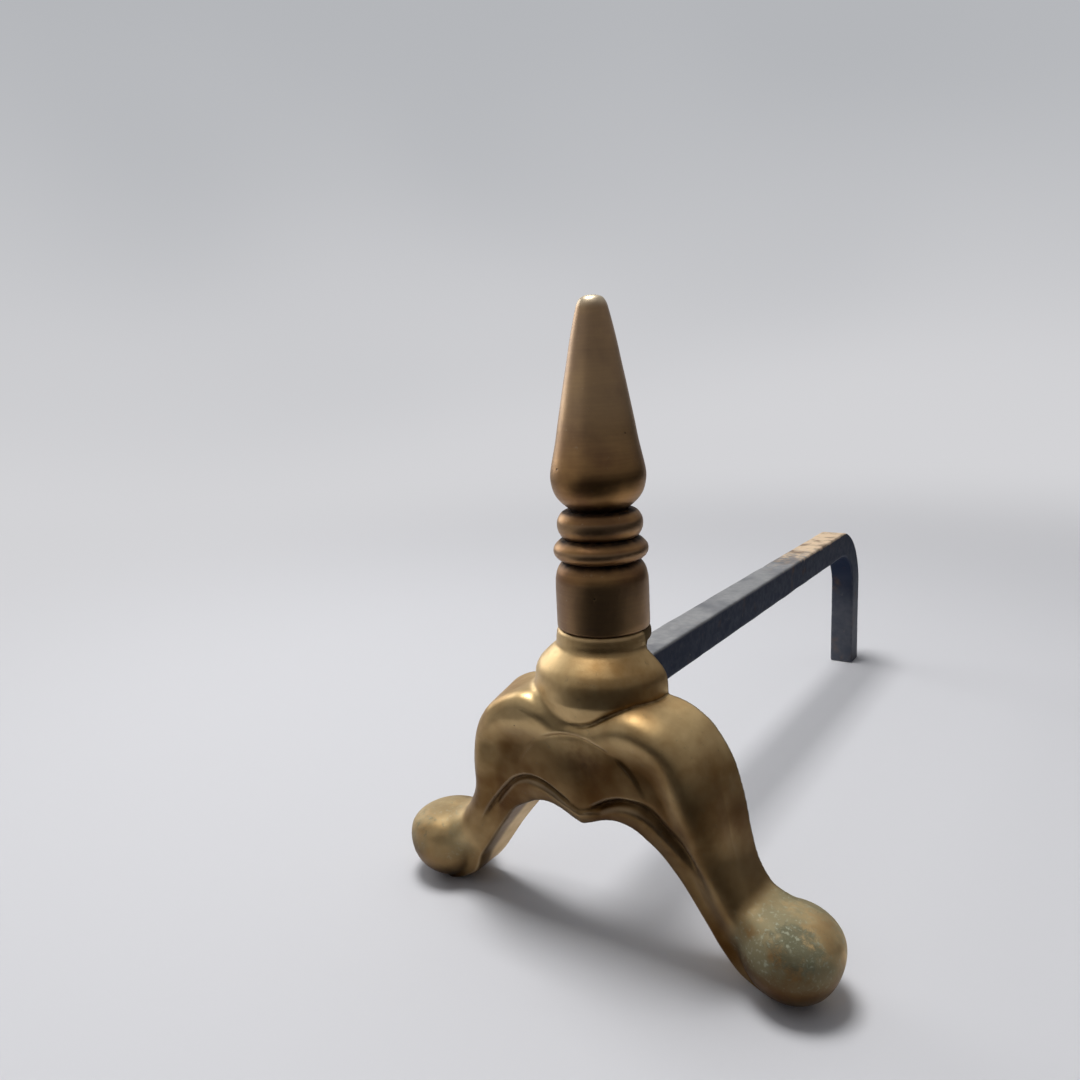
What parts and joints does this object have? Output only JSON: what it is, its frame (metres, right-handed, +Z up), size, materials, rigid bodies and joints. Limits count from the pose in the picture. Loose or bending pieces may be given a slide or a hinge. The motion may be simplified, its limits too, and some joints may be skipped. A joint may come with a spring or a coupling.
{
  "type": "andiron",
  "caption": "Brass andiron: arched cabriole-leg stand on ball feet, turned column with steeple finial, and a forged iron bar with a bent rear leg.",
  "frame": {"origin": "on the floor, under the middle of the whole andiron's length and width", "axes": "+Z up; +Y from the brass stand towards the bar's rear leg; +X to the right seen from the front"},
  "size_m": [0.221, 0.433, 0.2809],
  "materials": {
    "cast_brass": "sand-cast, hand-polished and mellowed, with green tarnish on the feet",
    "turned_brass": "turned, satin, aged brown",
    "wrought_iron": "forged, fire-blackened, with patches of rust",
    "iron_hardware": "blackened iron hardware"
  },
  "bodies": {
    "stand": {"leg_casting": "cast_brass", "plinth": "turned_brass", "lower_ring": "turned_brass", "upper_ring": "turned_brass", "tie_rod": "iron_hardware", "washer": "iron_hardware", "nut": "iron_hardware", "billet_bar": "wrought_iron"},
    "finial": {"finial": "turned_brass"}
  },
  "joints": [
    {"name": "finial_unscrew", "type": "slide", "parent": "stand", "child": "finial", "axis": [0, 0, 1], "range_m": [0, 0.024]}
  ]
}
